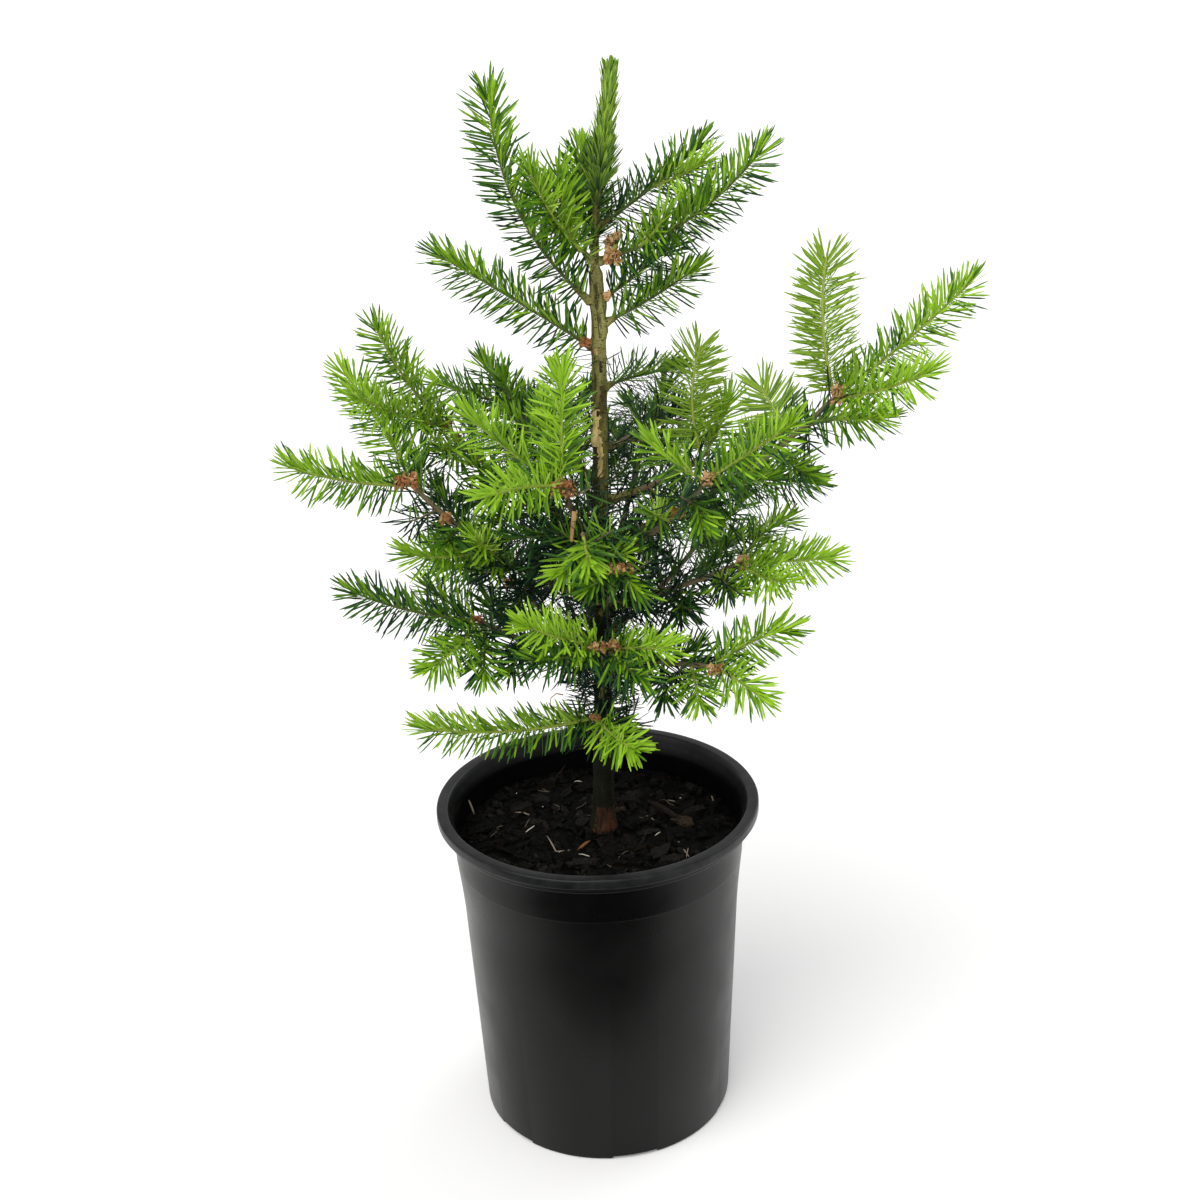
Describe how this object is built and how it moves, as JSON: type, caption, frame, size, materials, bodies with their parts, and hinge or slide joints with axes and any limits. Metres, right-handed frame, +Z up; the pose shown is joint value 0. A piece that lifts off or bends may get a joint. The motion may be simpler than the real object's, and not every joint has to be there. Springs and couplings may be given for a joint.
{
  "type": "potted balsam fir",
  "caption": "Young fir in a round black nursery pot, with open whorls of boughs, flat needle sprays and a single upright leader.",
  "frame": {"origin": "centre of the flat underside of the pot", "axes": "+Z up along the pot's axis; -Y towards the viewer of the plant's fuller side; +X to its right"},
  "size_m": [0.328, 0.1894, 0.5386],
  "materials": {
    "pot": "black moulded polypropylene, satin, with faint scratches and a seam on the lip",
    "mix": "dark, damp composted bark with a few pale fibres and grains",
    "bark": "smooth grey-brown bark with small dark knobs and one healed pale scar",
    "needles": "fir needles, from bright green at the shoot ends to dark green inside, paler underneath"
  },
  "bodies": {
    "root": {"pot": "pot", "potting_mix": "mix", "trunk": "bark", "bough_bottom": "bark", "bough_front_low": "bark", "bough_left_low": "bark", "bough_right_bottom": "bark", "bough_front_middle": "bark", "bough_right_low": "bark", "bough_left_far": "bark", "bough_front": "bark", "bough_front_left": "bark", "bough_front_right": "bark", "bough_left_high": "bark", "bough_right_far": "bark", "bough_right_middle": "bark", "bough_back_left": "bark", "bough_back_right": "bark", "bough_back_low": "bark", "bough_back_right_low": "bark", "bough_back_left_low": "bark", "bough_back_middle": "bark", "bough_back_high": "bark", "dead_twig": "bark", "foliage_bottom": "needles", "foliage_front_low": "needles", "foliage_left_low": "needles", "foliage_right_bottom": "needles", "foliage_front_middle": "needles", "foliage_right_low": "needles", "foliage_left_far": "needles", "foliage_front": "needles", "foliage_front_left": "needles", "foliage_front_right": "needles", "foliage_left_high": "needles", "foliage_right_far": "needles", "foliage_right_middle": "needles", "foliage_back_left": "needles", "foliage_back_right": "needles", "foliage_back_low": "needles", "foliage_back_right_low": "needles", "foliage_back_left_low": "needles", "foliage_back_middle": "needles", "foliage_back_high": "needles", "foliage_middle_right": "needles", "foliage_upper_left": "needles", "foliage_upper_right": "needles", "foliage_upper_right_back": "needles", "foliage_top_left": "needles", "foliage_top_front": "needles", "foliage_top_right_long": "needles", "foliage_top_back": "needles", "foliage_top_right": "needles", "foliage_leader": "needles"}
  },
  "joints": []
}
